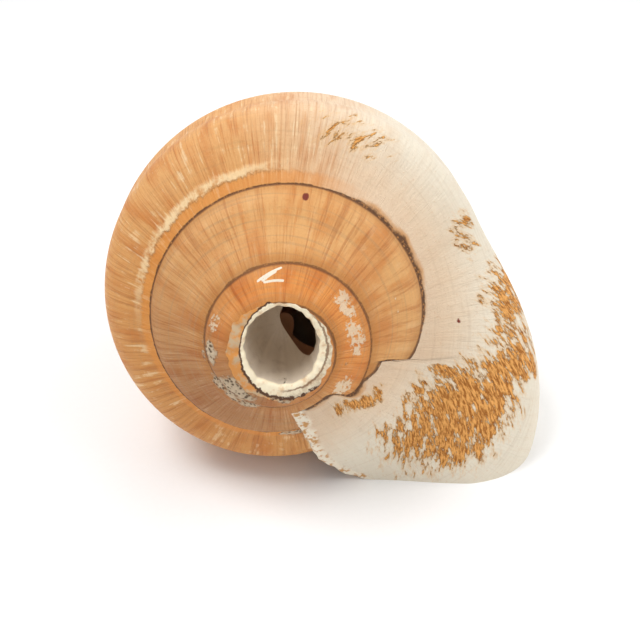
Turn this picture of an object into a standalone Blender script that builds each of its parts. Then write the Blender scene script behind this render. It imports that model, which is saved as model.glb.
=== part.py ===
"""A weathered moon snail shell whose tip has broken away, lying on the mouth of its last whorl.

The shell is a tube wound round an axis. Its section keeps its form and grows by a fixed ratio each
turn, so two outlines and a growth ratio give nearly all of it. The whorls are made solid first, and
the winding chamber is then cut out of them. Lengths are metres and angles are degrees.

Shell coordinates: the axis is z with the tip upwards, r is the distance from the axis, and turn is
the angle wound, 0 near the lip and negative towards the tip.
"""

import math

import bpy
import numpy as np
from mathutils import Matrix

# Growth: the section's size is 1 at turn 0.
GROWTH_PER_TURN = 1.667
SWELL_TURNS = (-1100, -760, -500, -300, -150, 60)
SWELL = (0, 0.024, 0.081, -0.066, -0.026, 0)

# The whorl's outline at turn 0, as distances from its centre at angles above the outward direction.
CENTRE_R = 0.0326
CENTRE_Z = -0.0662
OUTLINE_ANGLES = (140, 115, 90, 65, 40, 15, -10, -40, -75, -110, -145)
OUTLINE = (0.0755, 0.0575, 0.0393, 0.0318, 0.0322, 0.0280, 0.0293, 0.0316, 0.0387, 0.0488, 0.0586)
AXIS_HOLE = 0.0062
OUTLINE_TO = -120
SUTURE_ANGLES = (62, 122)
SPLIT_ANGLE = 30
AXIS_TOP_Z = -0.050

# The last quarter turn spreads out at the shoulder and climbs up the whorl before it.
FLARE = 0.0248
FLARE_ANGLE = 32
FLARE_SPREAD = 38
FLARE_TURNS = (-85, -20)
FLARE_FADE = 0.69
CLIMB = 0.0038
CLIMB_TURNS = (-41, -10)
CLIMB_ANGLES = (45, 95)

# The lip's own line, as degrees behind the last row by distance from the axis.
LIP_R = (0.016, 0.023, 0.031, 0.036, 0.040, 0.048)
LIP_BACK = (1, 5, 6, 8, 11, 19)
LIP_BENDS_FROM = -70

# The chamber inside, with its walls at turn 0.
WALL = 0.0024
PARTING_WALL = 0.0022
COLUMELLA_WALL = 0.0042
CHAMBER_R = 0.0420
CHAMBER_Z = -0.0730
CHAMBER_TURNS = (-860, 40)

# The broken tip.
TIP_CUT_Z = -0.0085
TIP_HOLE_RADIUS = 0.0079
TIP_HOLE_DEPTH = 0.0120
TIP_HOLE_ASIDE = (-0.0005, 0.0012)

# The egg-shaped gap that leads from the broken tip's cup into the chamber. Its half sizes are
# outwards, along the coil and upwards.
PASSAGE_AT = (0.0018, 0.0044, -0.0200)
PASSAGE_ASPECT = 107
PASSAGE_HALF = (0.0038, 0.0062, 0.0070)

# How the shell lies: its axis rises towards the viewer, and the rest plane cuts the lip flat.
AXIS_RISE = 18.8
AXIS_ASIDE = 3.0
SHELL_ROLL = -63.2
APEX_HEIGHT = 0.0485
BOX_CENTRE = (0.0104, 0.0551)

# Rows of points across the whorls, at a fixed step, so that rows one turn apart share a half plane.
ROWS_PER_TURN = 50
ROW_STEP = 360 / ROWS_PER_TURN
LAST_TURN = 20
ROW_COUNT = 250
BAND_POINTS = 8
LOWER_POINTS = 19
MOUTH_POINTS = 5
MOUTH_LAG = 1.15
CHAMBER_STEP = 9
CHAMBER_POINTS = 16


def smooth_through(keys, values, at):
    """A natural cubic spline through the keys, which go up."""
    keys, values = np.asarray(keys, float), np.asarray(values, float)
    gaps = np.diff(keys)
    slopes = np.diff(values) / gaps
    bends = np.zeros(len(keys))
    system = np.diag(2 * (gaps[:-1] + gaps[1:])) + np.diag(gaps[1:-1], 1) + np.diag(gaps[1:-1], -1)
    bends[1:-1] = np.linalg.solve(system, 6 * np.diff(slopes))
    at = np.clip(at, keys[0], keys[-1])
    i = np.clip(np.searchsorted(keys, at) - 1, 0, len(gaps) - 1)
    after, before, gap = at - keys[i], keys[i + 1] - at, gaps[i]
    curve = (bends[i] * before**3 + bends[i + 1] * after**3) / (6 * gap)
    line = (values[i] / gap - bends[i] * gap / 6) * before
    return curve + line + (values[i + 1] / gap - bends[i + 1] * gap / 6) * after


def ease(share):
    """0 to 1 with level ends."""
    share = np.clip(share, 0, 1)
    return share * share * (3 - 2 * share)


def between(value, ends):
    return ease((value - ends[0]) / (ends[1] - ends[0]))


def growth(turn):
    """The section's size, as a share of its size at turn 0."""
    return GROWTH_PER_TURN ** (turn / 360) * np.exp(smooth_through(SWELL_TURNS, SWELL, turn))


def outline_radius(turn, angle):
    """Distance from the section's centre to its outside, before growth."""
    plain = smooth_through(OUTLINE_ANGLES[::-1], OUTLINE[::-1], angle)
    bump = np.exp(-(((angle - FLARE_ANGLE) / FLARE_SPREAD) ** 2))
    fade = 1 - FLARE_FADE * np.radians(np.clip(turn - FLARE_TURNS[1], 0, None))
    flare = FLARE * between(turn, FLARE_TURNS) * fade * bump
    return plain + flare + CLIMB * between(turn, CLIMB_TURNS) * between(angle, CLIMB_ANGLES)


def section_point(turn, angle, radius):
    size = growth(turn)
    spoke = np.radians(angle)
    r = size * (CENTRE_R + radius * np.cos(spoke))
    z = size * (CENTRE_Z + radius * np.sin(spoke))
    return r, z


def depth_inside(turn, r, z):
    """How far a point of the half plane is inside the outline at a turn."""
    size = growth(turn)
    across, up = r / size - CENTRE_R, z / size - CENTRE_Z
    angle = np.degrees(np.arctan2(up, across))
    return size * (outline_radius(turn, angle) - np.hypot(across, up))


def placed(turn, r, z):
    spoke = np.radians(-turn)
    return np.stack([r * np.cos(spoke), r * np.sin(spoke), z], axis=-1)


def row_turn(i):
    return LAST_TURN - (ROW_COUNT - 1 - i) * ROW_STEP


def on_row(i, angle):
    """Turn, r and z of a row's points. Near the lip a row bends back away from the axis.

    The rows one or more turns before bend with it, so that all of them lie on one sheet.
    """
    outermost = i + (ROW_COUNT - 1 - i) // ROWS_PER_TURN * ROWS_PER_TURN
    share = (row_turn(outermost) - LIP_BENDS_FROM) / (LAST_TURN - LIP_BENDS_FROM)
    turn = row_turn(i)
    r, _ = section_point(turn, angle, outline_radius(turn, angle))
    at = turn - max(share, 0) * np.interp(r, LIP_R, LIP_BACK)
    return (at, *section_point(at, angle, outline_radius(at, angle)))


def meeting(i):
    """Where a row, followed up from the shoulder, meets an earlier whorl, and how many turns earlier.

    Near the lip the last whorl climbs over a suture and meets the whorl two turns before it.
    """
    angle = np.arange(*SUTURE_ANGLES, 0.05)
    at, r, z = on_row(i, angle)
    depth = [depth_inside(at - 360 * back, r, z) for back in (1, 2)]
    met = np.maximum(*depth) > 0
    k = met.argmax() if met.any() else len(angle) - 1
    skips = i >= ROW_COUNT - ROWS_PER_TURN and depth[1][k] > depth[0][k]
    return angle[k], 2 if skips else 1


def angle_at(turn, r, z):
    size = growth(turn)
    return np.degrees(np.arctan2(z / size - CENTRE_Z, r / size - CENTRE_R))


def spread(i, first, last, count):
    """Angles from first to last, spaced evenly along a row."""
    angle = np.linspace(first, last, 120)
    _, r, z = on_row(i, angle)
    along = np.concatenate([[0], np.cumsum(np.hypot(np.diff(r), np.diff(z)))])
    return np.interp(np.linspace(0, along[-1], count), along, angle)


def landing(i, later, meets):
    """The angle on row i at which a later row's suture lands."""
    at, r, z = on_row(later, meets[later][0])
    return angle_at(at - (later - i) * ROW_STEP, r, z)


def row_angles(i, meets, lands):
    """Angles of a row's points, from its suture to the suture that lands on it or to the axis."""
    first = meets[i][0]
    behind = ROW_COUNT - 1 - ROWS_PER_TURN
    if i < behind:
        angle = spread(i, first, landing(i, lands[i], meets), BAND_POINTS)
        if i != behind - ROWS_PER_TURN:
            return angle
        return np.concatenate([angle, spread(i, angle[-1], landing(i, behind, meets), MOUTH_POINTS)[1:]])
    angle = spread(i, first, SPLIT_ANGLE, BAND_POINTS)
    return np.concatenate([angle, spread(i, SPLIT_ANGLE, OUTLINE_TO, LOWER_POINTS + 1)[1:]])


def whorls(name):
    """The whorls as one closed solid, with the mouth filled: rows share the points on each suture."""
    last = ROW_COUNT - 1
    behind = last - ROWS_PER_TURN
    meets = [meeting(i) for i in range(ROW_COUNT)]
    covered = [i < behind and meets[i + ROWS_PER_TURN][1] == 2 for i in range(ROW_COUNT)]
    lands = [i + ROWS_PER_TURN for i in range(behind)]
    for i in range(ROWS_PER_TURN, last + 1):
        if meets[i][1] == 2:
            lands[i - 2 * ROWS_PER_TURN] = i
    points = []
    rows = [None] * ROW_COUNT
    for i in range(last, -1, -1):
        if covered[i]:
            rows[i] = [rows[i + ROWS_PER_TURN][0]] * BAND_POINTS
            continue
        row = placed(*on_row(i, row_angles(i, meets, lands))).tolist()
        shared = {}
        if i < behind:
            shared[BAND_POINTS - 1] = rows[lands[i]][0]
        if i == behind - ROWS_PER_TURN:
            shared[len(row) - 1] = rows[behind][0]
        rows[i] = []
        for k, point in enumerate(row):
            if k not in shared:
                shared[k] = len(points)
                points.append(point)
            rows[i].append(shared[k])
    faces = []
    for i in range(last):
        if not covered[i]:
            after = rows[i + 1] if i >= behind else rows[i + 1][:BAND_POINTS]
            faces += strip(rows[i], after) if len(after) == len(rows[i]) else bridge(rows[i], after, points)
    mouth = rows[behind - ROWS_PER_TURN][BAND_POINTS - 1:] + rows[behind][1:]
    faces += bridge(rows[last], mouth, points, MOUTH_LAG)
    points.append((0, 0, AXIS_TOP_Z))
    faces += fan([rows[i][-1] for i in range(behind, last + 1)], len(points) - 1)
    points.append((0, 0, CENTRE_Z * growth(row_turn(0))))
    tip = [rows[i][0] for i in range(ROWS_PER_TURN, -1, -1)] + rows[0][1:BAND_POINTS - 1]
    faces += fan(tip, len(points) - 1)
    return solid(name, points, faces)


def strip(first, second):
    """Quads between two rows with the same count, or triangles where two corners are one point."""
    faces = []
    for k in range(len(first) - 1):
        corners = dict.fromkeys((first[k], second[k], second[k + 1], first[k + 1]))
        if len(corners) > 2:
            faces.append(tuple(corners))
    return faces


def shares(row, points):
    """How far along its row each point is, from 0 to 1."""
    steps = [math.dist(points[a], points[b]) for a, b in zip(row, row[1:])]
    return np.concatenate([[0], np.cumsum(steps)]) / (sum(steps) or 1)


def bridge(first, second, points, lag=1.0):
    """Triangles between two rows, without any that shared points leave flat.

    A lag over 1 lets the first row run ahead of the second at its start.
    """
    along_first, along_second = shares(first, points), shares(second, points) ** lag
    faces = []
    i = j = 0
    while i < len(first) - 1 or j < len(second) - 1:
        ends = i == len(first) - 1, j == len(second) - 1
        if ends[1] or (not ends[0] and along_first[i + 1] <= along_second[j + 1]):
            faces.append((first[i], second[j], first[i + 1]))
            i += 1
        else:
            faces.append((first[i], second[j], second[j + 1]))
            j += 1
    return [face for face in faces if len(set(face)) == 3]


def fan(loop, centre):
    return [(a, b, centre) for a, b in zip(loop, loop[1:] + loop[:1])]


def in_chamber(turn, r, z):
    """Whether a point is inside the chamber, clear of every wall."""
    size = growth(turn)
    own = depth_inside(turn, r, z) > WALL * size
    parted = depth_inside(turn - 360, r, z) < -PARTING_WALL * size
    clear = r > (AXIS_HOLE + COLUMELLA_WALL) * size
    return own & parted & clear


def chamber_rings(turns):
    """Rings of the chamber, each point found by walking out from the chamber's middle to a wall."""
    angle = np.radians(np.arange(CHAMBER_POINTS) * -360 / CHAMBER_POINTS)[None, :]
    turn = np.asarray(turns, float)[:, None] + 0 * angle
    size = growth(turn)
    reach = np.zeros(turn.shape)
    step = 0.02
    while step > 1e-5:
        far = reach + step
        r = size * (CHAMBER_R + far * np.cos(angle))
        z = size * (CHAMBER_Z + far * np.sin(angle))
        reach = np.where(in_chamber(turn, r, z), far, reach)
        step *= 0.8
    r = size * (CHAMBER_R + reach * np.cos(angle))
    z = size * (CHAMBER_Z + reach * np.sin(angle))
    return placed(turn, r, z)


def tube(name, rings):
    """A closed solid through rings of points."""
    count, around = rings.shape[:2]
    faces = [tuple(range(around))]
    for i in range(count - 1):
        for j in range(around):
            k = (j + 1) % around
            first, second = i * around, (i + 1) * around
            faces.append((first + k, first + j, second + j, second + k))
    faces.append(tuple(reversed(range((count - 1) * around, count * around))))
    return solid(name, rings.reshape(-1, 3).tolist(), faces)


def solid(name, points, faces):
    mesh = bpy.data.meshes.new(name)
    mesh.from_pydata(points, [], faces)
    mesh.update()
    made = bpy.data.objects.new(name, mesh)
    bpy.context.scene.collection.objects.link(made)
    return made


def tip_cutter():
    """A rounded cup that opens the tip: a cylinder on half an ellipsoid, and flat above the rim."""
    levels, around = 5, 20
    radius, wide = TIP_HOLE_RADIUS, TIP_HOLE_RADIUS * 3
    profile = [(wide, 0.02), (wide, TIP_CUT_Z), (radius, TIP_CUT_Z)]
    for i in range(levels):
        slant = math.radians(90 * i / levels)
        z = TIP_CUT_Z * 1.3 - TIP_HOLE_DEPTH * math.sin(slant)
        profile.append((radius * math.cos(slant), z))
    angle = np.radians(np.arange(around) * 360 / around)
    rings = [placed(-np.degrees(angle), r, z + 0 * angle) for r, z in profile]
    cutter = tube("tip_cutter", np.array(rings))
    cutter.location = (*TIP_HOLE_ASIDE, 0)
    return cutter


def passage_cutter():
    levels, around = 10, 16
    slant = np.radians(np.linspace(85, -85, levels))
    turn = np.arange(around) * -360 / around
    rings = [placed(turn, np.cos(s), np.sin(s) + 0 * turn) for s in slant]
    cutter = tube("passage_cutter", np.array(rings) * PASSAGE_HALF)
    cutter.rotation_euler.z = math.radians(PASSAGE_ASPECT)
    cutter.location = PASSAGE_AT
    return cutter


def rest_plane_cutter():
    """A block under z = 0."""
    half = 0.15
    square = [(-half, -half), (half, -half), (half, half), (-half, half)]
    rings = [[(x, y, z) for x, y in square] for z in (0, -half)]
    return tube("rest_plane_cutter", np.array(rings))


def combine(shell, other, operation):
    step = shell.modifiers.new(f"{operation.lower()}_{other.name}", "BOOLEAN")
    step.operation = operation
    step.solver = "EXACT"
    step.object = other
    other.hide_render = True
    other.display_type = "WIRE"


def shell_material():
    material = bpy.data.materials.new("weathered_shell")
    material.use_nodes = True
    shader = material.node_tree.nodes["Principled BSDF"]
    shader.inputs["Base Color"].default_value = (0.62, 0.36, 0.15, 1)
    shader.inputs["Roughness"].default_value = 0.55
    shader.inputs["Metallic"].default_value = 0.0
    return material


def rest_pose():
    """The empty that lays the shell down: rolled about its axis, tipped forward, turned and lifted."""
    rest = bpy.data.objects.new("rest", None)
    bpy.context.scene.collection.objects.link(rest)
    roll = Matrix.Rotation(math.radians(SHELL_ROLL), 4, "Z")
    tip = Matrix.Rotation(math.radians(90 - AXIS_RISE), 4, "X")
    aside = Matrix.Rotation(math.radians(AXIS_ASIDE), 4, "Z")
    rest.matrix_world = Matrix.Translation((-BOX_CENTRE[0], -BOX_CENTRE[1], APEX_HEIGHT)) @ aside @ tip @ roll
    return rest


def main():
    for old in list(bpy.data.objects):
        bpy.data.objects.remove(old)
    shell = whorls("shell")
    turns = np.arange(CHAMBER_TURNS[0], CHAMBER_TURNS[1], CHAMBER_STEP)
    chamber = tube("chamber", chamber_rings(turns))
    cutters = [tip_cutter(), passage_cutter(), chamber]
    rest = rest_pose()
    for piece in (shell, *cutters):
        piece.parent = rest
    for cutter in (*cutters, rest_plane_cutter()):
        combine(shell, cutter, "DIFFERENCE")
    shell.data.materials.append(shell_material())


main()
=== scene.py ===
"""The finished look of a weathered moon snail shell, with its floor, light and camera.

The shell is wound again here with fine rows, from the same dimensions as the solid, and each face
then learns where it is on its whorl. The materials read that: how far it has been wound, how far it
is below the suture and how worn, stained or gritty it is there.

Shell coordinates: the axis is z with the tip upwards, r is the distance from the axis, and turn is
the angle wound in degrees, 0 near the lip and negative towards the tip. Lengths are metres.
"""

import math

import bpy
import numpy as np
from mathutils import Matrix, Vector, noise


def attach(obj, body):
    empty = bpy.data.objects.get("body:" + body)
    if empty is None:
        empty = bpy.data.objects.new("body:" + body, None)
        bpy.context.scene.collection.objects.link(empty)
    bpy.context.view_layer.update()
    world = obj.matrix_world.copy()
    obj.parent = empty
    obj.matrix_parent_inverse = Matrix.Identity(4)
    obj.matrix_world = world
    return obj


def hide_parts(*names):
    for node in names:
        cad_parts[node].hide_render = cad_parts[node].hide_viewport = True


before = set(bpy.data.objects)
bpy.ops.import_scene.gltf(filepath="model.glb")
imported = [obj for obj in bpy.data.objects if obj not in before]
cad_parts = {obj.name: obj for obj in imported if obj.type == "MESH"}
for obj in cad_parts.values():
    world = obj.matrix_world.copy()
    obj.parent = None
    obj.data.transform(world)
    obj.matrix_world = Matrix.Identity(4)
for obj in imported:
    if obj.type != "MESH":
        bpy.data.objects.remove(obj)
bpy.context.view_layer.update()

# Growth: the section's size is 1 at turn 0.
GROWTH_PER_TURN = 1.667
SWELL_TURNS = (-1100, -760, -500, -300, -150, 60)
SWELL = (0, 0.024, 0.081, -0.066, -0.026, 0)

# The whorl's outline at turn 0, as distances from its centre at angles above the outward direction.
CENTRE_R = 0.0326
CENTRE_Z = -0.0662
OUTLINE_ANGLES = (140, 115, 90, 65, 40, 15, -10, -40, -75, -110, -145)
OUTLINE = (0.0755, 0.0575, 0.0393, 0.0318, 0.0322, 0.0280, 0.0293, 0.0316, 0.0387, 0.0488, 0.0586)
AXIS_HOLE = 0.0062
OUTLINE_TO = -120
SUTURE_ANGLES = (62, 122)
SPLIT_ANGLE = 30
AXIS_TOP_Z = -0.050

# The last quarter turn spreads out at the shoulder and climbs up the whorl before it.
FLARE = 0.0248
FLARE_ANGLE = 32
FLARE_SPREAD = 38
FLARE_TURNS = (-85, -20)
FLARE_FADE = 0.69
CLIMB = 0.0038
CLIMB_TURNS = (-41, -10)
CLIMB_ANGLES = (45, 95)

# The lip's own line, as degrees behind the last row by distance from the axis.
LIP_R = (0.016, 0.023, 0.031, 0.036, 0.040, 0.048)
LIP_BACK = (1, 5, 6, 8, 11, 19)
LIP_BENDS_FROM = -70
LIP_CHIP = 0.0010
LIP_CHIP_REACH = 0.006
LIP_CHIP_COARSE = 260
LIP_CHIP_FINE = 620
EDGE_FROM = -90

# The chamber inside, with its walls at turn 0.
WALL = 0.0024
PARTING_WALL = 0.0022
COLUMELLA_WALL = 0.0042
CHAMBER_R = 0.0420
CHAMBER_Z = -0.0730
CHAMBER_TURNS = (-860, 40)

# The broken tip.
TIP_CUT_Z = -0.0085
TIP_HOLE_HALF = (0.0083, 0.0075)
TIP_HOLE_ASPECT = 152
TIP_HOLE_DEPTH = 0.0120
TIP_HOLE_ASIDE = (-0.0005, 0.0012)
TIP_RIM = 0.0009
TIP_RING_WIDTH = 0.0023
TIP_RING_LEAN = 0.0016
TIP_RING_SIDE = 40

# The egg-shaped gap that leads from the broken tip's cup into the chamber. Its half sizes are
# outwards, along the coil and upwards.
PASSAGE_AT = (0.0018, 0.0044, -0.0200)
PASSAGE_ASPECT = 107
PASSAGE_HALF = (0.0038, 0.0062, 0.0070)

# How the shell lies.
AXIS_RISE = 18.8
AXIS_ASIDE = 3.0
SHELL_ROLL = -63.2
APEX_HEIGHT = 0.0485
BOX_CENTRE = (0.0104, 0.0551)

# Rows of points across the whorls.
ROWS_PER_TURN = 300
ROW_STEP = 360 / ROWS_PER_TURN
LAST_TURN = 20
ROW_COUNT = 1500
BAND_POINTS = 36
LOWER_POINTS = 90
MOUTH_POINTS = 14
MOUTH_LAG = 1.25
CHAMBER_STEP = 3
CHAMBER_POINTS = 48
PAST_LIP = 6
TOO_FAR = 9
SHARP_ANGLE = 50

# The chart of lengths along the outline, by turn and angle.
CHART_TURNS = (-1776, 28)
CHART_STEP = 4.0
CHART_ANGLES = (125, -122)

# The camera, from the virtual apex of the coil.
CAMERA_FROM_APEX = (0.0080, -0.1009, 0.0901)
CAMERA_DOWN = 37.85
CAMERA_LENS = 40.3

# The floor and the light. Each lamp has its name, place, size and power.
FLOOR_HALF = 2.0
WORLD_STRENGTH = 0.53
LAMPS = (
    ("key", (-0.30, 0.0, 0.60), 0.30, 2.35), ("fill", (0.48, -0.02, 0.48), 0.5, 1.9),
    ("back", (0.0, 0.85, 0.60), 0.6, 1.6),
)


def smooth_through(keys, values, at):
    """A natural cubic spline through the keys, which go up."""
    keys, values = np.asarray(keys, float), np.asarray(values, float)
    gaps = np.diff(keys)
    slopes = np.diff(values) / gaps
    bends = np.zeros(len(keys))
    system = np.diag(2 * (gaps[:-1] + gaps[1:])) + np.diag(gaps[1:-1], 1) + np.diag(gaps[1:-1], -1)
    bends[1:-1] = np.linalg.solve(system, 6 * np.diff(slopes))
    at = np.clip(at, keys[0], keys[-1])
    i = np.clip(np.searchsorted(keys, at) - 1, 0, len(gaps) - 1)
    after, before, gap = at - keys[i], keys[i + 1] - at, gaps[i]
    curve = (bends[i] * before**3 + bends[i + 1] * after**3) / (6 * gap)
    line = (values[i] / gap - bends[i] * gap / 6) * before
    return curve + line + (values[i + 1] / gap - bends[i + 1] * gap / 6) * after


def ease(share):
    """0 to 1 with level ends."""
    share = np.clip(share, 0, 1)
    return share * share * (3 - 2 * share)


def between(value, ends):
    return ease((value - ends[0]) / (ends[1] - ends[0]))


def growth(turn):
    """The section's size, as a share of its size at turn 0."""
    return GROWTH_PER_TURN ** (turn / 360) * np.exp(smooth_through(SWELL_TURNS, SWELL, turn))


def outline_radius(turn, angle):
    """Distance from the section's centre to its outside, before growth."""
    plain = smooth_through(OUTLINE_ANGLES[::-1], OUTLINE[::-1], angle)
    bump = np.exp(-(((angle - FLARE_ANGLE) / FLARE_SPREAD) ** 2))
    fade = 1 - FLARE_FADE * np.radians(np.clip(turn - FLARE_TURNS[1], 0, None))
    flare = FLARE * between(turn, FLARE_TURNS) * fade * bump
    return plain + flare + CLIMB * between(turn, CLIMB_TURNS) * between(angle, CLIMB_ANGLES)


def section_point(turn, angle, radius):
    size = growth(turn)
    spoke = np.radians(angle)
    r = size * (CENTRE_R + radius * np.cos(spoke))
    z = size * (CENTRE_Z + radius * np.sin(spoke))
    return r, z


def depth_inside(turn, r, z):
    """How far a point of the half plane is inside the outline at a turn."""
    size = growth(turn)
    across, up = r / size - CENTRE_R, z / size - CENTRE_Z
    angle = np.degrees(np.arctan2(up, across))
    return size * (outline_radius(turn, angle) - np.hypot(across, up))


def placed(turn, r, z):
    spoke = np.radians(-turn)
    return np.stack([r * np.cos(spoke), r * np.sin(spoke), z], axis=-1)


def row_turn(i):
    return LAST_TURN - (ROW_COUNT - 1 - i) * ROW_STEP


def on_row(i, angle):
    """Turn, r and z of a row's points. Near the lip a row bends back away from the axis.

    The rows one or more turns before bend with it, so that all of them lie on one sheet.
    """
    outermost = i + (ROW_COUNT - 1 - i) // ROWS_PER_TURN * ROWS_PER_TURN
    share = (row_turn(outermost) - LIP_BENDS_FROM) / (LAST_TURN - LIP_BENDS_FROM)
    turn = row_turn(i)
    r, _ = section_point(turn, angle, outline_radius(turn, angle))
    at = turn - max(share, 0) * np.interp(r, LIP_R, LIP_BACK)
    return (at, *section_point(at, angle, outline_radius(at, angle)))


def meeting(i):
    """Where a row, followed up from the shoulder, meets an earlier whorl, and how many turns earlier.

    Near the lip the last whorl climbs over a suture and meets the whorl two turns before it.
    """
    angle = np.arange(*SUTURE_ANGLES, 0.05)
    at, r, z = on_row(i, angle)
    depth = [depth_inside(at - 360 * back, r, z) for back in (1, 2)]
    met = np.maximum(*depth) > 0
    k = met.argmax() if met.any() else len(angle) - 1
    skips = i >= ROW_COUNT - ROWS_PER_TURN and depth[1][k] > depth[0][k]
    return angle[k], 2 if skips else 1


def angle_at(turn, r, z):
    size = growth(turn)
    return np.degrees(np.arctan2(z / size - CENTRE_Z, r / size - CENTRE_R))


def spread(i, first, last, count):
    """Angles from first to last, spaced evenly along a row."""
    angle = np.linspace(first, last, 120)
    _, r, z = on_row(i, angle)
    along = np.concatenate([[0], np.cumsum(np.hypot(np.diff(r), np.diff(z)))])
    return np.interp(np.linspace(0, along[-1], count), along, angle)


def landing(i, later, meets):
    """The angle on row i at which a later row's suture lands."""
    at, r, z = on_row(later, meets[later][0])
    return angle_at(at - (later - i) * ROW_STEP, r, z)


def row_angles(i, meets, lands):
    """Angles of a row's points, from its suture to the suture that lands on it or to the axis."""
    first = meets[i][0]
    behind = ROW_COUNT - 1 - ROWS_PER_TURN
    if i < behind:
        angle = spread(i, first, landing(i, lands[i], meets), BAND_POINTS)
        if i != behind - ROWS_PER_TURN:
            return angle
        return np.concatenate([angle, spread(i, angle[-1], landing(i, behind, meets), MOUTH_POINTS)[1:]])
    angle = spread(i, first, SPLIT_ANGLE, BAND_POINTS)
    return np.concatenate([angle, spread(i, SPLIT_ANGLE, OUTLINE_TO, LOWER_POINTS + 1)[1:]])


def whorls(name):
    """The whorls as one closed solid, with the mouth filled: rows share the points on each suture."""
    last = ROW_COUNT - 1
    behind = last - ROWS_PER_TURN
    meets = [meeting(i) for i in range(ROW_COUNT)]
    covered = [i < behind and meets[i + ROWS_PER_TURN][1] == 2 for i in range(ROW_COUNT)]
    lands = [i + ROWS_PER_TURN for i in range(behind)]
    for i in range(ROWS_PER_TURN, last + 1):
        if meets[i][1] == 2:
            lands[i - 2 * ROWS_PER_TURN] = i
    points = []
    rows = [None] * ROW_COUNT
    for i in range(last, -1, -1):
        if covered[i]:
            rows[i] = [rows[i + ROWS_PER_TURN][0]] * BAND_POINTS
            continue
        row = placed(*on_row(i, row_angles(i, meets, lands))).tolist()
        shared = {}
        if i < behind:
            shared[BAND_POINTS - 1] = rows[lands[i]][0]
        if i == behind - ROWS_PER_TURN:
            shared[len(row) - 1] = rows[behind][0]
        rows[i] = []
        for k, point in enumerate(row):
            if k not in shared:
                shared[k] = len(points)
                points.append(point)
            rows[i].append(shared[k])
    faces = []
    for i in range(last):
        if not covered[i]:
            after = rows[i + 1] if i >= behind else rows[i + 1][:BAND_POINTS]
            faces += strip(rows[i], after) if len(after) == len(rows[i]) else bridge(rows[i], after, points)
    mouth = rows[behind - ROWS_PER_TURN][BAND_POINTS - 1:] + rows[behind][1:]
    faces += bridge(rows[last], mouth, points, MOUTH_LAG)
    points.append((0, 0, AXIS_TOP_Z))
    faces += fan([rows[i][-1] for i in range(behind, last + 1)], len(points) - 1)
    points.append((0, 0, CENTRE_Z * growth(row_turn(0))))
    tip = [rows[i][0] for i in range(ROWS_PER_TURN, -1, -1)] + rows[0][1:BAND_POINTS - 1]
    faces += fan(tip, len(points) - 1)
    return solid(name, points, faces)


def strip(first, second):
    """Quads between two rows with the same count, or triangles where two corners are one point."""
    faces = []
    for k in range(len(first) - 1):
        corners = dict.fromkeys((first[k], second[k], second[k + 1], first[k + 1]))
        if len(corners) > 2:
            faces.append(tuple(corners))
    return faces


def shares(row, points):
    """How far along its row each point is, from 0 to 1."""
    steps = [math.dist(points[a], points[b]) for a, b in zip(row, row[1:])]
    return np.concatenate([[0], np.cumsum(steps)]) / (sum(steps) or 1)


def bridge(first, second, points, lag=1.0):
    """Triangles between two rows, without any that shared points leave flat.

    A lag over 1 lets the first row run ahead of the second at its start.
    """
    along_first, along_second = shares(first, points), shares(second, points) ** lag
    faces = []
    i = j = 0
    while i < len(first) - 1 or j < len(second) - 1:
        ends = i == len(first) - 1, j == len(second) - 1
        if ends[1] or (not ends[0] and along_first[i + 1] <= along_second[j + 1]):
            faces.append((first[i], second[j], first[i + 1]))
            i += 1
        else:
            faces.append((first[i], second[j], second[j + 1]))
            j += 1
    return [face for face in faces if len(set(face)) == 3]


def fan(loop, centre):
    return [(a, b, centre) for a, b in zip(loop, loop[1:] + loop[:1])]


def in_chamber(turn, r, z):
    """Whether a point is inside the chamber, clear of every wall."""
    size = growth(turn)
    own = depth_inside(turn, r, z) > WALL * size
    parted = depth_inside(turn - 360, r, z) < -PARTING_WALL * size
    clear = r > (AXIS_HOLE + COLUMELLA_WALL) * size
    return own & parted & clear


def chamber_rings(turns):
    """Rings of the chamber, each point found by walking out from the chamber's middle to a wall."""
    angle = np.radians(np.arange(CHAMBER_POINTS) * -360 / CHAMBER_POINTS)[None, :]
    turn = np.asarray(turns, float)[:, None] + 0 * angle
    size = growth(turn)
    reach = np.zeros(turn.shape)
    step = 0.02
    while step > 1e-5:
        far = reach + step
        r = size * (CHAMBER_R + far * np.cos(angle))
        z = size * (CHAMBER_Z + far * np.sin(angle))
        reach = np.where(in_chamber(turn, r, z), far, reach)
        step *= 0.8
    r = size * (CHAMBER_R + reach * np.cos(angle))
    z = size * (CHAMBER_Z + reach * np.sin(angle))
    return placed(turn, r, z)


def tube(name, rings):
    """A closed solid through rings of points."""
    count, around = rings.shape[:2]
    faces = [tuple(range(around))]
    for i in range(count - 1):
        for j in range(around):
            k = (j + 1) % around
            first, second = i * around, (i + 1) * around
            faces.append((first + k, first + j, second + j, second + k))
    faces.append(tuple(reversed(range((count - 1) * around, count * around))))
    return solid(name, rings.reshape(-1, 3).tolist(), faces)


def solid(name, points, faces):
    mesh = bpy.data.meshes.new(name)
    mesh.from_pydata(points, [], faces)
    mesh.update()
    made = bpy.data.objects.new(name, mesh)
    bpy.context.scene.collection.objects.link(made)
    return made


def wander(at, waves, seed):
    """A smooth wandering value between about -1 and 1, repeating every turn of 360 degrees."""
    phases = np.random.default_rng(seed).uniform(0, 2 * math.pi, len(waves))
    return sum(np.sin(np.radians(at) * n + phase) for n, phase in zip(waves, phases)) / len(waves) ** 0.5


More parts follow.
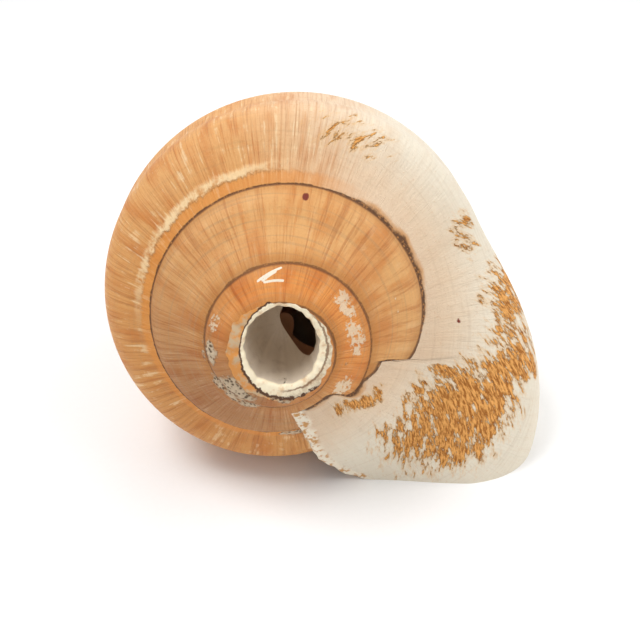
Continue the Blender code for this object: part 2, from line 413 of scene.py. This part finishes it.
def tip_cutter():
    """A rounded cup that opens the tip, with a thin uneven rim."""
    around, levels, rounds = 120, 18, 6
    angle = np.arange(around) * 360 / around
    across, along = TIP_HOLE_HALF
    spoke = np.radians(angle - TIP_HOLE_ASPECT)
    hole = across * along / np.hypot(along * np.cos(spoke), across * np.sin(spoke))
    hole = hole + 0.00018 * wander(angle, (3, 5, 8, 13, 21), 3)
    drop = 0.00022 * wander(angle, (2, 5, 9, 14, 23, 31), 5)
    rings = [placed(-angle, hole * 3, 0.02 + 0 * angle), placed(-angle, hole * 3, TIP_CUT_Z + drop)]
    for i in range(rounds + 1):
        slant = math.radians(90 * i / rounds)
        r = hole + TIP_RIM * (1 - math.sin(slant))
        rings.append(placed(-angle, r, TIP_CUT_Z + drop - TIP_RIM * (1 - math.cos(slant))))
    for i in range(1, levels):
        slant = math.radians(90 * i / levels)
        z = TIP_CUT_Z + drop * math.cos(slant) - TIP_RIM - TIP_HOLE_DEPTH * 1.2 * math.sin(slant)
        rings.append(placed(-angle, hole * math.cos(slant) ** 0.7, z))
    cutter = tube("tip_cutter", np.array(rings))
    cutter.location = (*TIP_HOLE_ASIDE, 0)
    return cutter


def passage_cutter():
    levels, around = 24, 40
    turn = np.arange(around) * -360 / around
    slants = np.radians(np.linspace(86, -86, levels))
    rings = [placed(turn, np.cos(slant), np.sin(slant) + 0 * turn) for slant in slants]
    cutter = tube("passage_cutter", np.array(rings) * PASSAGE_HALF)
    cutter.rotation_euler.z = math.radians(PASSAGE_ASPECT)
    cutter.location = PASSAGE_AT
    return cutter


def rest_plane_cutter():
    """A block under z = 0."""
    half = 0.15
    square = [(-half, -half), (half, -half), (half, half), (-half, half)]
    rings = [[(x, y, z) for x, y in square] for z in (0, -half)]
    return tube("rest_plane_cutter", np.array(rings))


def rest_matrix():
    """Lays the shell down: rolled about its axis, tipped forward, turned and lifted."""
    roll = Matrix.Rotation(math.radians(SHELL_ROLL), 4, "Z")
    tip = Matrix.Rotation(math.radians(90 - AXIS_RISE), 4, "X")
    aside = Matrix.Rotation(math.radians(AXIS_ASIDE), 4, "Z")
    return Matrix.Translation((-BOX_CENTRE[0], -BOX_CENTRE[1], APEX_HEIGHT)) @ aside @ tip @ roll


def cut_away(shell, cutters):
    """A new object with the cutters taken out. Each cut face keeps its cutter's material."""
    for cutter in cutters:
        step = shell.modifiers.new(cutter.name, "BOOLEAN")
        step.operation = "DIFFERENCE"
        step.solver = "EXACT"
        step.material_mode = "TRANSFER"
        step.object = cutter
    bpy.context.view_layer.update()
    graph = bpy.context.evaluated_depsgraph_get()
    cut = bpy.data.meshes.new_from_object(shell.evaluated_get(graph))
    for cutter in cutters:
        bpy.data.objects.remove(cutter)
    bpy.data.objects.remove(shell)
    made = bpy.data.objects.new("shell_surface", cut)
    bpy.context.scene.collection.objects.link(made)
    return made


# The shell's own colours.
TAN = (0.75, 0.40, 0.15)
ORANGE = (0.80, 0.32, 0.08)
RUST = (0.58, 0.24, 0.05)
BROWN = (0.45, 0.22, 0.09)
BONE = (0.82, 0.74, 0.60)

# Where they lie, in degrees of turn or of the side, or in millimetres below the suture.
OLD_TURNS = (-380, -410)
ORANGE_TURNS = (-720, -760)
PALE_TURNS = (-170, -110)
DARK_SIDE = 290
RUST_REACH = (14, 2)
PALER_REACH = (5, 25)
FRESH_TURNS = (-150, -110)
BAND_TURN = -190
BAND_REACH = 42
RIGHT_SIDE = 45

# How far the shell is wound at turn 0, in metres along the coil.
WOUND_AT_START = 0.713

# Broad areas of brown skin: turn, millimetres below the suture, reaches and cover.
SKIN = (
    (-35, 30, 40, 22, 0.54), (-65, 30, 15, 18, 0.50), (-20, 6, 20, 5, 0.54), (-85, 20, 12, 8, 0.46),
    (-130, 18, 22, 12, 0.42),
)

# Dirt in the suture: turn, millimetres below it, reaches and cover.
SOIL = (
    (-110, 0, 10, 5, 0.9), (-95, 0, 12, 5, 1.0), (-82, 0, 8, 5, 0.9), (-70, 0, 9, 4, 0.4),
    (-25, 0, 8, 6, 0.9), (-5, 0, 12, 4, 0.5),
)

# Chalky mottle and dark grit: turn, millimetres below the suture, reaches and cover.
CHALK = (
    (-815, 21, 22, 10, 0.52), (-785, 17, 26, 12, 0.50), (-745, 16, 18, 12, 0.47), (-938, 21, 14, 10, 0.50),
    (-560, 20, 30, 14, 0.22), (-438, 15, 16, 2.5, 0.42), (-225, 12, 30, 8, 0.26),
)
GRIT = (
    (-1010, 19, 32, 14, 0.62), (-965, 22, 16, 10, 0.54), (-700, 30, 26, 7, 0.42), (-1060, 16, 20, 12, 0.55),
    (-770, 12, 30, 7, 0.42), (-338, 3, 14, 4, 0.56), (-1230, 16, 150, 20, 0.40), (-655, 2, 40, 6, 0.60),
    (-600, 2, 25, 3, 0.44), (-690, 10, 12, 6, 0.46),
)

# Dark red blots.
BLOTS = ((-500, 28, 1.6, 2.2, 1.0), (-60, 12, 1.0, 0.9, 0.9))

# White scratches on the innermost whorl, each from and to a turn and millimetres below the suture.
SCRATCHES = ((-887, 19.5, -869, 25.8), (-883, 18.8, -873, 23.1), (-882, 17.4, -867, 16.5))
# Millimetres on that whorl for each degree and each millimetre below the suture, and the width.
SCRATCH_SCALE = (0.27, 0.29)
SCRATCH_WIDTH = 0.26
SCRATCH_FADE = 1.6


def suture_line(meets):
    """The suture's turns, going up, with its angle at each."""
    angle = np.array([meet[0] for meet in meets])
    turn = np.array([float(on_row(i, angle[i])[0]) for i in range(ROW_COUNT)])
    order = np.argsort(turn)
    return turn[order], angle[order]


class Chart:
    """Tells how far below its suture any point of a whorl is."""

    def __init__(self, meets):
        self.suture_turn, self.suture_angle = suture_line(meets)
        self.turns = np.arange(CHART_TURNS[0], CHART_TURNS[1], CHART_STEP)
        self.angles = np.arange(CHART_ANGLES[0], CHART_ANGLES[1], -1.0)
        turn, angle = np.meshgrid(self.turns, self.angles, indexing="ij")
        r, z = section_point(turn, angle, outline_radius(turn, angle))
        steps = np.hypot(np.diff(r, axis=1), np.diff(z, axis=1))
        self.along = np.concatenate([np.zeros((len(self.turns), 1)), np.cumsum(steps, axis=1)], axis=1)

    def look_up(self, turn, angle):
        i = np.clip((turn - self.turns[0]) / CHART_STEP, 0, len(self.turns) - 1.001)
        j = np.clip(CHART_ANGLES[0] - angle, 0, len(self.angles) - 1.001)
        a, b = i.astype(int), j.astype(int)
        s, t = i - a, j - b
        first = self.along[a, b] * (1 - t) + self.along[a, b + 1] * t
        second = self.along[a + 1, b] * (1 - t) + self.along[a + 1, b + 1] * t
        return first * (1 - s) + second * s

    def below_suture(self, turn, angle):
        start = np.interp(turn, self.suture_turn, self.suture_angle)
        return self.look_up(turn, angle) - self.look_up(turn, start)

    def above_next(self, turn, angle):
        """How far above the next whorl's suture, or a whole turn's growth where there is none."""
        later = turn + 360
        start = np.interp(later, self.suture_turn, self.suture_angle)
        r, z = section_point(later, start, outline_radius(later, start))
        lands = angle_at(turn, r, z)
        gap = self.look_up(turn, lands) - self.look_up(turn, angle)
        return np.where(later < LAST_TURN, gap, 1.0)


def nearest_turn(place):
    """The turn of the whorl whose outline passes closest to each place."""
    r = np.hypot(place[:, 0], place[:, 1])
    about = -np.degrees(np.arctan2(place[:, 1], place[:, 0]))
    best, best_gap = None, None
    for back in range(-1, 6):
        turn = about - 360 * back
        gap = np.abs(depth_inside(turn, r, place[:, 2])) + TOO_FAR * (turn > LAST_TURN + PAST_LIP)
        if best is None:
            best, best_gap = turn, gap
        best = np.where(gap < best_gap, turn, best)
        best_gap = np.minimum(gap, best_gap)
    return best


def shell_tone(turn, depth):
    """Tan, orange on the inner whorl, darker on one side, rusty by the suture and pale near the lip."""
    old = between(turn, OLD_TURNS)
    dark = (0.5 + 0.5 * np.cos(np.radians(-turn - DARK_SIDE))) ** 2
    layers = (
        (ORANGE, between(turn, ORANGE_TURNS)),
        (BROWN, old * dark),
        (RUST, 0.6 * (1 - old) * dark),
        (RUST, 0.4 * between(depth, RUST_REACH)),
        (BONE, between(turn, PALE_TURNS) * (0.6 + 0.4 * between(depth, PALER_REACH))),
    )
    tone = np.tile(TAN, (len(turn), 1))
    for colour, share in layers:
        tone += (np.array(colour) - tone) * share[:, None]
    return tone


def cover(spots, turn, depth):
    """The largest cover that any spot gives, fading to nothing round it."""
    most = np.zeros(len(turn))
    for at, below, reach, high, amount in spots:
        near = ((turn - at) / reach) ** 2 + ((depth - below) / high) ** 2
        most = np.maximum(most, amount * np.exp(-(near**1.5)))
    return most


def scratched(turn, depth):
    """1 within a scratch, fading out over its sides."""
    most = np.zeros(len(turn))
    for turn_a, depth_a, turn_b, depth_b in SCRATCHES:
        x, y = (turn - turn_a) * SCRATCH_SCALE[0], (depth - depth_a) * SCRATCH_SCALE[1]
        run, climb = (turn_b - turn_a) * SCRATCH_SCALE[0], (depth_b - depth_a) * SCRATCH_SCALE[1]
        share = np.clip((x * run + y * climb) / (run**2 + climb**2), 0, 1)
        gap = np.hypot(x - share * run, y - share * climb)
        most = np.maximum(most, np.clip(SCRATCH_FADE - gap / SCRATCH_WIDTH, 0, 1))
    return most


def tip_ring(place):
    """How far out each place is on the broken tip's ring: 0 at the hole, 1 at the ring's edge."""
    x, y = place[:, 0] - TIP_HOLE_ASIDE[0], place[:, 1] - TIP_HOLE_ASIDE[1]
    spoke = np.arctan2(y, x)
    across, along = TIP_HOLE_HALF
    slant = spoke - math.radians(TIP_HOLE_ASPECT)
    hole = across * along / np.hypot(along * np.cos(slant), across * np.sin(slant))
    width = TIP_RING_WIDTH + TIP_RING_LEAN * np.cos(spoke - math.radians(TIP_RING_SIDE))
    return (np.hypot(x, y) - hole) / width


def chip_lip(mesh):
    """Pushes the lip's edge back unevenly, and the wall behind it less and less."""
    edge = np.empty(len(mesh.loops), np.float32)
    mesh.attributes["edge"].data.foreach_get("value", edge)
    corner = np.empty(len(mesh.loops), int)
    mesh.loops.foreach_get("vertex_index", corner)
    behind = np.ones(len(mesh.vertices))
    behind[corner] = np.clip(edge, 0, None)
    for i in np.nonzero(behind < LIP_CHIP_REACH)[0]:
        vertex = mesh.vertices[int(i)]
        fade = 1 - behind[i] / LIP_CHIP_REACH
        wave = noise.noise(vertex.co * LIP_CHIP_COARSE) + 0.7 * noise.noise(vertex.co * LIP_CHIP_FINE)
        back = Vector((-vertex.co.y, vertex.co.x, 0)).normalized()
        vertex.co += back * float(LIP_CHIP * fade * fade * (0.4 + wave))


def write_chart(mesh, chart):
    """Stores on each face corner where it is on its whorl, and how it is coloured and worn."""
    count = len(mesh.loops)
    points = np.empty(len(mesh.vertices) * 3)
    mesh.vertices.foreach_get("co", points)
    points = points.reshape(-1, 3)
    corner = np.empty(count, int)
    mesh.loops.foreach_get("vertex_index", corner)
    sizes = np.empty(len(mesh.polygons), int)
    mesh.polygons.foreach_get("loop_total", sizes)
    owner = np.repeat(np.arange(len(sizes)), sizes)
    place = points[corner]
    middle = np.stack([np.bincount(owner, place[:, k]) / sizes for k in range(3)], axis=1)
    face_turn = nearest_turn(middle)[owner]
    turn = -np.degrees(np.arctan2(place[:, 1], place[:, 0]))
    turn += 360 * np.round((face_turn - turn) / 360)
    r = np.hypot(place[:, 0], place[:, 1])
    angle = angle_at(turn, r, place[:, 2])
    size = growth(turn)
    down = chart.below_suture(turn, angle)
    depth = 1000 * down / size
    lip = LAST_TURN - np.interp(r, LIP_R, LIP_BACK)
    edge = np.where(turn > EDGE_FROM, np.radians(lip - turn) * r, 1)
    values = {
        "wind": size * WOUND_AT_START,
        "size": size,
        "down": down,
        "rise": chart.above_next(turn, angle),
        "edge": edge,
        "skin": cover(SKIN, turn, depth),
        "chalk": cover(CHALK, turn, depth),
        "grit": cover(GRIT, turn, depth),
        "soil": cover(SOIL, turn, depth),
        "fresh": between(turn, FRESH_TURNS),
        "band": np.exp(-(((turn - BAND_TURN) / BAND_REACH) ** 4)),
        "old": between(turn, OLD_TURNS),
        "scratch": scratched(turn, depth),
        "blot": cover(BLOTS, turn, depth),
        "across": chart.look_up(turn, angle),
        "right": np.cos(-np.radians(turn) - math.radians(RIGHT_SIDE)),
        "rim": tip_ring(place),
        "sunk": TIP_CUT_Z - place[:, 2],
        "deep": -place[:, 2],
    }
    for name, value in values.items():
        mesh.attributes.new(name, "FLOAT", "CORNER").data.foreach_set("value", value.astype(np.float32))
    tone = np.concatenate([shell_tone(turn, depth), np.ones((count, 1))], axis=1).astype(np.float32)
    mesh.attributes.new("tone", "FLOAT_COLOR", "CORNER").data.foreach_set("color", tone.ravel())



class Nodes:
    """Adds shader nodes to a material, linking or setting each input."""

    def __init__(self, name):
        self.material = bpy.data.materials.new(name)
        self.material.use_nodes = True
        self.tree = self.material.node_tree
        self.shader = self.tree.nodes["Principled BSDF"]

    def set(self, socket, value):
        if isinstance(value, bpy.types.NodeSocket):
            self.tree.links.new(value, socket)
        elif isinstance(value, tuple) and len(value) == 3 and socket.type == "RGBA":
            socket.default_value = (*value, 1)
        else:
            socket.default_value = value

    def value(self, name):
        node = self.tree.nodes.new("ShaderNodeAttribute")
        node.attribute_name = name
        return node.outputs["Color" if name == "tone" else "Fac"]

    def math(self, operation, *values):
        node = self.tree.nodes.new("ShaderNodeMath")
        node.operation = operation
        for socket, value in zip(node.inputs, values):
            self.set(socket, value)
        return node.outputs[0]

    def add(self, *values):
        total = values[0]
        for value in values[1:]:
            total = self.math("ADD", total, value)
        return total

    def times(self, *values):
        product = values[0]
        for value in values[1:]:
            product = self.math("MULTIPLY", product, value)
        return product

    def step(self, value, low, high):
        """0 below low and 1 above high, eased; low may be the greater."""
        node = self.tree.nodes.new("ShaderNodeMapRange")
        node.interpolation_type = "SMOOTHSTEP"
        self.set(node.inputs["Value"], value)
        self.set(node.inputs["From Min"], low)
        self.set(node.inputs["From Max"], high)
        return node.outputs[0]

    def mix(self, share, first, second, kind="MIX"):
        node = self.tree.nodes.new("ShaderNodeMix")
        node.data_type = "RGBA"
        node.blend_type = kind
        self.set(node.inputs[0], share)
        self.set(node.inputs[6], first)
        self.set(node.inputs[7], second)
        return node.outputs[2]

    def on_whorl(self, along, across, shift=0.0, slant=0.0):
        """A place on the whorl, scaled along its winding and across it, and slanted."""
        node = self.tree.nodes.new("ShaderNodeCombineXYZ")
        wind = self.value("wind")
        self.set(node.inputs[0], self.times(wind, along))
        self.set(node.inputs[1], self.times(self.add(self.value("across"), self.times(wind, slant)), across))
        node.inputs[2].default_value = shift
        return node.outputs[0]

    def in_space(self):
        node = self.tree.nodes.new("ShaderNodeTexCoord")
        return node.outputs["Object"]

    def noise(self, place, scale=1.0, detail=2.0, rough=0.5):
        node = self.tree.nodes.new("ShaderNodeTexNoise")
        self.set(node.inputs["Vector"], place)
        node.inputs["Scale"].default_value = scale
        node.inputs["Detail"].default_value = detail
        node.inputs["Roughness"].default_value = rough
        return node.outputs["Fac"]

    def cells(self, place, scale):
        node = self.tree.nodes.new("ShaderNodeTexVoronoi")
        self.set(node.inputs["Vector"], place)
        node.inputs["Scale"].default_value = scale
        return node.outputs["Distance"]

    def finish(self, colour, roughness, height):
        """Joins the shader up. The height is in metres."""
        bump = self.tree.nodes.new("ShaderNodeBump")
        bump.inputs["Distance"].default_value = 1.0
        self.set(bump.inputs["Height"], height)
        self.set(self.shader.inputs["Base Color"], colour)
        self.set(self.shader.inputs["Roughness"], roughness)
        self.set(self.shader.inputs["Normal"], bump.outputs["Normal"])
        return self.material


def outside_material():
    n = Nodes("weathered_outside")
    n.shader.inputs["Specular IOR Level"].default_value = 0.22
    fine = n.noise(n.on_whorl(2400, 110), detail=3, rough=0.6)
    lines = n.noise(n.on_whorl(800, 70, 3.0), detail=3, rough=0.6)
    broad = n.noise(n.on_whorl(170, 60, 7.0), detail=3, rough=0.55)
    spiral = n.noise(n.on_whorl(45, 1300, 11.0), detail=2)
    mottle = n.noise(n.in_space(), 260, detail=5, rough=0.62)
    speck = n.noise(n.in_space(), 1500, detail=3, rough=0.6)
    fresh = n.value("fresh")
    aged = n.math("SUBTRACT", 1.0, fresh)
    colour = n.value("tone")

    deeper = n.mix(1.0, colour, (0.80, 0.52, 0.30), "MULTIPLY")
    colour = n.mix(n.times(n.step(broad, 0.46, 0.70), n.add(n.times(aged, 0.55), 0.10)), colour, deeper)
    colour = n.mix(n.times(n.step(lines, 0.50, 0.72), aged, 0.55), colour, deeper)
    colour = n.mix(n.times(n.step(fine, 0.50, 0.78), n.add(n.times(aged, 0.40), 0.12)), colour, deeper)
    paler = n.mix(0.6, colour, (0.92, 0.72, 0.44))
    cream = n.step(n.add(n.times(lines, 0.6), n.times(mottle, 0.4)), 0.46, 0.38)
    old = n.value("old")
    young = n.math("SUBTRACT", 1.0, n.times(old, 0.75))
    colour = n.mix(n.times(cream, aged, young, 0.8), colour, paler)
    streak = n.times(n.step(spiral, 0.48, 0.72), n.add(0.13, n.times(old, 0.24)))
    colour = n.mix(streak, colour, (0.42, 0.26, 0.13))
    bands = n.noise(n.on_whorl(1500, 40, 5.0), detail=4, rough=0.7)
    darker = n.mix(1.0, colour, (0.62, 0.42, 0.30), "MULTIPLY")
    colour = n.mix(n.times(n.step(bands, 0.48, 0.66), aged, 0.55), colour, darker)
    colour = n.mix(n.times(n.step(speck, 0.60, 0.74), 0.35), colour, deeper)

    chalky = n.step(n.add(n.times(mottle, 0.6), n.times(speck, 0.4), n.value("chalk")), 0.94, 0.99)
    colour = n.mix(n.times(chalky, 0.75), colour, (0.84, 0.70, 0.50))

    down, rise, size = n.value("down"), n.value("rise"), n.value("size")
    waver = n.times(n.math("SUBTRACT", n.mix(0.5, lines, mottle), 0.5), 0.0050)
    below = n.math("DIVIDE", n.add(down, waver), size)
    ridge = n.times(n.step(below, 0.0034, 0.0048), n.step(below, 0.0078, 0.0060), n.value("band"))
    colour = n.mix(n.times(ridge, n.step(mottle, 0.36, 0.52), 0.75), colour, (0.93, 0.72, 0.42))
    teeth = n.times(n.step(below, 0.0050, 0.0030), aged, young)
    colour = n.mix(n.times(teeth, 0.6), colour, (0.72, 0.27, 0.045))

    soil = n.value("soil")
    ragged = n.times(n.math("SUBTRACT", mottle, 0.5), n.add(0.0012, n.times(soil, 0.0030)))
    reach = n.add(0.00022, n.times(soil, 0.0007))
    stain = n.step(n.math("DIVIDE", n.add(down, ragged), reach), 2.2, 0.9)
    rusty = n.step(n.math("DIVIDE", n.add(down, ragged), reach), 4.2, 2.0)
    colour = n.mix(n.times(rusty, soil, 0.85), colour, (0.58, 0.25, 0.055))
    grains = n.cells(n.in_space(), 1300)
    dirt = n.mix(n.step(speck, 0.50, 0.66), (0.085, 0.032, 0.011), (0.40, 0.17, 0.045))
    colour = n.mix(n.times(stain, 0.94), colour, dirt)
    # Painted shade: a soft dark brown close to the sutures, standing in for the shade in their creases.
    painted_suture_shade = n.add(n.times(n.step(rise, 0.0040, 0.0004), aged), n.times(n.step(down, 0.0035, 0.0004), old))
    colour = n.mix(n.times(painted_suture_shade, 0.42), colour, (0.36, 0.145, 0.035))
    above = n.step(n.add(rise, n.times(ragged, 0.5)), 0.0010, 0.0002)
    colour = n.mix(n.times(above, 0.85), colour, (0.13, 0.05, 0.02))

    fibre = n.noise(n.on_whorl(560, 1300, 17.0, -0.8), detail=3, rough=0.65)
    flakes = n.noise(n.on_whorl(230, 340, 23.0, -0.8), detail=6, rough=0.66)
    skin_at = n.add(n.times(flakes, 0.78), n.times(fibre, 0.22), n.value("skin"))
    skin = n.step(skin_at, 0.955, 0.985)
    thin = n.step(skin_at, 0.86, 0.97)
    colour = n.mix(n.times(thin, 0.50), colour, (0.76, 0.44, 0.16))
    brown = n.mix(n.step(fibre, 0.40, 0.60), (0.38, 0.135, 0.024), (0.86, 0.42, 0.12))
    colour = n.mix(skin, colour, brown)

    colour = n.mix(n.step(n.add(n.value("scratch"), ragged), 0.4, 0.8), colour, (0.90, 0.80, 0.64))
    colour = n.mix(n.step(n.value("blot"), 0.35, 0.7), colour, (0.20, 0.035, 0.02))
    gritty = n.step(n.add(mottle, n.value("grit")), 0.94, 1.06)
    sand = n.mix(n.step(grains, 0.25, 0.55), (0.12, 0.09, 0.06), (0.62, 0.50, 0.35))
    colour = n.mix(n.times(gritty, 0.9), colour, sand)

    edge = n.step(n.add(n.value("edge"), n.times(n.math("SUBTRACT", mottle, 0.5), 0.004)), 0.0034, 0.0018)
    layers = n.noise(n.in_space(), 620, detail=4, rough=0.6)
    pale = n.mix(n.step(layers, 0.48, 0.60), (0.90, 0.80, 0.64), (0.62, 0.32, 0.11))
    colour = n.mix(edge, colour, pale)

    heights = (
        n.times(fine, 0.00009), n.times(lines, 0.00022), n.times(broad, 0.00040), n.times(mottle, 0.00035),
        n.times(bands, 0.00016), n.times(speck, 0.00008),
        n.times(skin, 0.00008), n.times(skin, fibre, 0.00035), n.times(gritty, grains, 0.00045),
        n.times(chalky, 0.00004), n.times(ridge, 0.00025), n.times(edge, layers, 0.0003),
    )
    rough = n.add(0.50, n.times(skin, 0.25), n.times(gritty, 0.3), n.times(chalky, 0.15))
    return n.finish(colour, rough, n.add(*heights))


def inside_material():
    """The smooth inner face of the chamber, darker up at the tip."""
    n = Nodes("smooth_inside")
    cloud = n.noise(n.in_space(), 90, detail=4)
    fine = n.noise(n.in_space(), 700, detail=3)
    colour = n.mix(n.step(cloud, 0.35, 0.65), (0.62, 0.50, 0.36), (0.74, 0.62, 0.47))
    colour = n.mix(n.times(n.step(fine, 0.5, 0.8), 0.3), colour, (0.45, 0.32, 0.20))
    tip = n.step(n.value("deep"), 0.046, 0.034)
    colour = n.mix(n.times(tip, 0.9), colour, (0.36, 0.14, 0.05))
    return n.finish(colour, 0.34, n.times(fine, 0.00003))


def broken_material():
    """The broken tip: a smooth grey cup, a chipped cream ring and a dark crevice round that."""
    n = Nodes("broken_tip")
    n.shader.inputs["Specular IOR Level"].default_value = 0.4
    mottle = n.noise(n.in_space(), 420, detail=5, rough=0.62)
    chips = n.noise(n.in_space(), 900, detail=4, rough=0.6)
    sunk, rim = n.value("sunk"), n.value("rim")
    ragged = n.math("SUBTRACT", chips, 0.5)
    colour = n.mix(n.step(mottle, 0.46, 0.68), (1.0, 0.88, 0.64), (0.80, 0.55, 0.32))
    gap = n.math("ABSOLUTE", n.math("SUBTRACT", n.add(rim, n.times(ragged, 0.3)), 0.42))
    gap = n.times(n.step(gap, 0.09, 0.03), n.step(n.value("right"), 0.2, 0.6))
    piece = n.times(n.step(rim, 0.42, 0.5), n.step(n.value("right"), 0.2, 0.6), 0.6)
    colour = n.mix(piece, colour, n.mix(n.step(chips, 0.45, 0.6), (0.52, 0.38, 0.24), (0.80, 0.68, 0.50)))
    colour = n.mix(n.times(gap, 0.85), colour, (0.22, 0.10, 0.04))
    around = n.add(rim, n.times(ragged, 0.9))
    colour = n.mix(n.step(around, 0.80, 0.92), colour, (0.10, 0.04, 0.015))
    outer = n.mix(n.step(mottle, 0.42, 0.60), (0.72, 0.30, 0.07), (0.62, 0.44, 0.26))
    sand = n.mix(n.step(n.cells(n.in_space(), 1300), 0.25, 0.55), (0.12, 0.09, 0.06), (0.58, 0.46, 0.32))
    outer = n.mix(n.step(n.add(mottle, n.value("grit")), 0.80, 0.95), outer, sand)
    colour = n.mix(n.step(around, 1.15, 1.30), colour, outer)
    cup = n.mix(n.step(sunk, 0.001, 0.013), (0.74, 0.63, 0.50), (0.68, 0.55, 0.41))
    cup = n.mix(n.times(n.step(mottle, 0.5, 0.7), 0.25), cup, (0.36, 0.25, 0.16))
    below = n.step(n.add(sunk, n.times(n.math("SUBTRACT", mottle, 0.5), 0.0008)), 0.0006, 0.0010)
    colour = n.mix(below, colour, cup)
    height = n.add(n.times(mottle, 0.00010), n.times(chips, n.math("SUBTRACT", 1.0, below), 0.00016))
    return n.finish(colour, n.math("SUBTRACT", 0.6, n.times(below, 0.25)), height)


def worn_material():
    """Where the shell has worn flat on what it lies on."""
    n = Nodes("worn_flat")
    mottle = n.noise(n.in_space(), 500, detail=4)
    return n.finish(n.mix(mottle, (0.80, 0.70, 0.55), (0.60, 0.48, 0.34)), 0.7, n.times(mottle, 0.00008))


def shell_piece():
    chart = Chart([meeting(i) for i in range(ROW_COUNT)])
    turns = np.arange(CHAMBER_TURNS[0], CHAMBER_TURNS[1], CHAMBER_STEP)
    pieces = (
        (whorls("whorls"), outside_material()),
        (tip_cutter(), broken_material()),
        (passage_cutter(), inside_material()),
        (tube("chamber", chamber_rings(turns)), bpy.data.materials["smooth_inside"]),
        (rest_plane_cutter(), worn_material()),
    )
    for piece, material in pieces:
        piece.data.materials.append(material)
    rest = rest_matrix()
    pieces[-1][0].matrix_world = rest.inverted()
    made = cut_away(pieces[0][0], [piece for piece, _ in pieces[1:]])
    write_chart(made.data, chart)
    chip_lip(made.data)
    made.data.transform(rest)
    made.data.shade_smooth()
    made.data.set_sharp_from_angle(angle=math.radians(SHARP_ANGLE))
    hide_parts("shell")
    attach(made, "root")


def floor_and_light():
    corners = [(FLOOR_HALF * x, FLOOR_HALF * y, 0) for x, y in ((-1, -1), (1, -1), (1, 1), (-1, 1))]
    floor = solid("floor", corners, [(0, 1, 2, 3)])
    white = Nodes("white_floor")
    grain = white.noise(white.in_space(), 800, detail=2)
    shade = white.mix(grain, (0.93, 0.93, 0.93), (0.96, 0.96, 0.96))
    floor.data.materials.append(white.finish(shade, 0.9, white.times(grain, 0.00001)))
    world = bpy.context.scene.world or bpy.data.worlds.new("world")
    bpy.context.scene.world = world
    world.use_nodes = True
    background = world.node_tree.nodes["Background"]
    background.inputs["Color"].default_value = (1, 1, 1, 1)
    background.inputs["Strength"].default_value = WORLD_STRENGTH
    for name, place, size, power in LAMPS:
        lamp = bpy.data.lights.new(name, "AREA")
        lamp.size = size
        lamp.energy = power
        made = bpy.data.objects.new(name, lamp)
        made.location = place
        made.rotation_euler = made.location.to_track_quat("Z", "Y").to_euler()
        bpy.context.scene.collection.objects.link(made)


def add_camera():
    camera = bpy.data.objects.new("camera", bpy.data.cameras.new("camera"))
    apex = (-BOX_CENTRE[0], -BOX_CENTRE[1], APEX_HEIGHT)
    camera.location = [a + b for a, b in zip(apex, CAMERA_FROM_APEX)]
    camera.rotation_euler = (math.radians(90 - CAMERA_DOWN), 0, 0)
    camera.data.sensor_width = 36
    camera.data.lens = CAMERA_LENS
    camera.data.clip_start = 0.01
    bpy.context.scene.collection.objects.link(camera)
    bpy.context.scene.camera = camera


shell_piece()
floor_and_light()
add_camera()
bpy.context.scene.view_settings.view_transform = "Standard"
